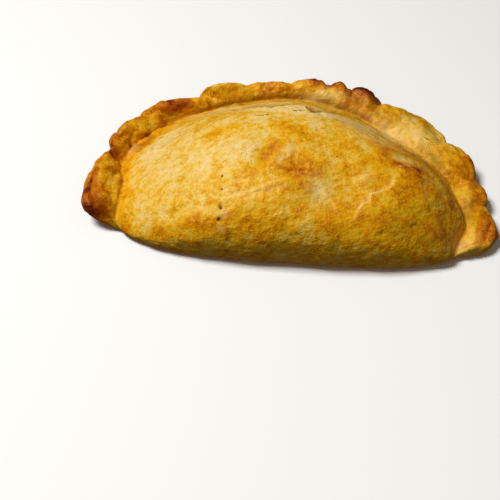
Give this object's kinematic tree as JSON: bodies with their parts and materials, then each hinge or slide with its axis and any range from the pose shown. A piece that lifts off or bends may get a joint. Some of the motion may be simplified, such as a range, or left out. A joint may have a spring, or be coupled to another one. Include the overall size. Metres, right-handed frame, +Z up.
{
  "type": "cheese and onion pie",
  "caption": "Half-moon pie of folded pastry with a bulging golden crust over its filling and a pleated, browned edge rolled up round its curved side.",
  "frame": {"origin": "centre of the pie's box, on the flat base", "axes": "+X from the left tip to the right tip, +Y towards the pleated edge, +Z up"},
  "size_m": [0.2014, 0.1224, 0.045],
  "materials": {
    "crust": "baked flaky pastry with a thin egg glaze, pale gold to orange, brown along the pleated edge"
  },
  "bodies": {
    "root": {"crust": "crust"}
  },
  "joints": []
}
